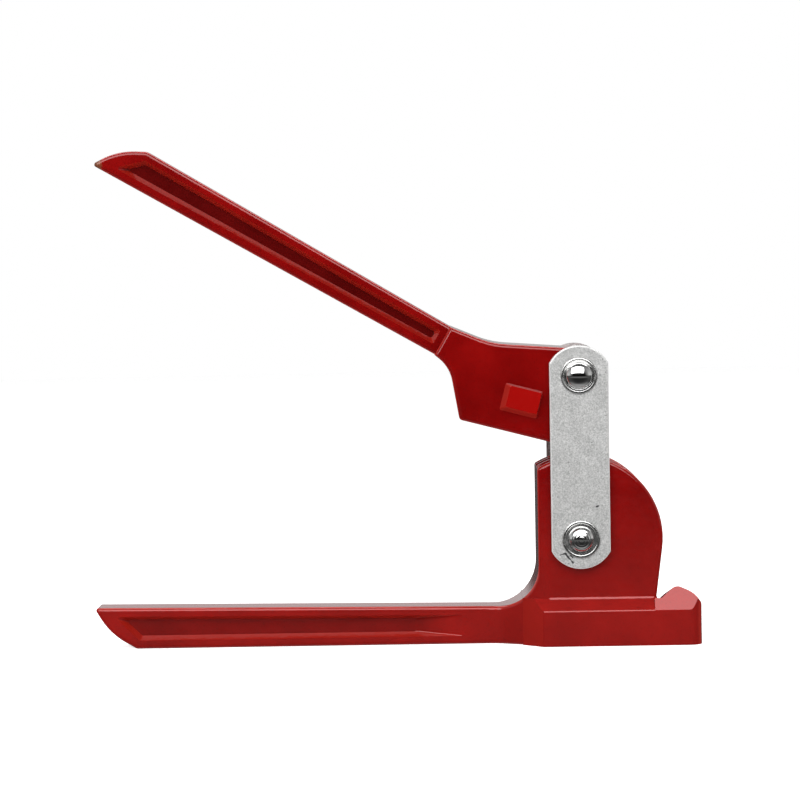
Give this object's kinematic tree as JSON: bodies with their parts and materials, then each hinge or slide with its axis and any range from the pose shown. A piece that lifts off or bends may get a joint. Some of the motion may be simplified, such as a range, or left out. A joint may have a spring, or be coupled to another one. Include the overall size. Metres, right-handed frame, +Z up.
{
  "type": "hand tube bender",
  "caption": "Plier-style hand bender for small metal tube: a grooved round die on the lower handle, a grooved shoe on the upper handle, joined by a pair of link plates.",
  "frame": {"origin": "the point of the foot's flat underside that lies straight below the lower pivot, halfway through the tool's thickness", "axes": "+Z up from the bench, +X from the handles towards the foot's hook, -Y towards the side of the 3/8 inch groove"},
  "size_m": [0.2097, 0.0444, 0.1726],
  "materials": {
    "red_enamel_casting": "glossy red enamel over die-cast aluminium",
    "zinc_plate": "matt zinc plating with fine speckle",
    "bright_rivet": "polished",
    "bright_washer": "bright turned steel",
    "sleeve_steel": "plain turned steel"
  },
  "bodies": {
    "lower_body": {"lower_body": "red_enamel_casting"},
    "link": {"front_link": "zinc_plate", "rear_link": "zinc_plate", "lower_rivet": "bright_rivet", "upper_rivet": "bright_rivet", "lower_front_washer": "bright_washer", "lower_rear_washer": "bright_washer", "upper_front_washer": "bright_washer", "upper_rear_washer": "bright_washer", "lower_pivot_sleeve": "sleeve_steel", "upper_pivot_sleeve": "sleeve_steel"},
    "upper_handle": {"upper_handle": "red_enamel_casting"}
  },
  "joints": [
    {"name": "link_swing", "type": "hinge", "parent": "lower_body", "child": "link", "pos_m": [0, 0, 0.037], "axis": [0, -1, 0], "range_deg": [-95, 30]},
    {"name": "handle_swing", "type": "hinge", "parent": "link", "child": "upper_handle", "pos_m": [0, 0, 0.0931], "axis": [0, -1, 0], "range_deg": [-60, 14.6]}
  ]
}
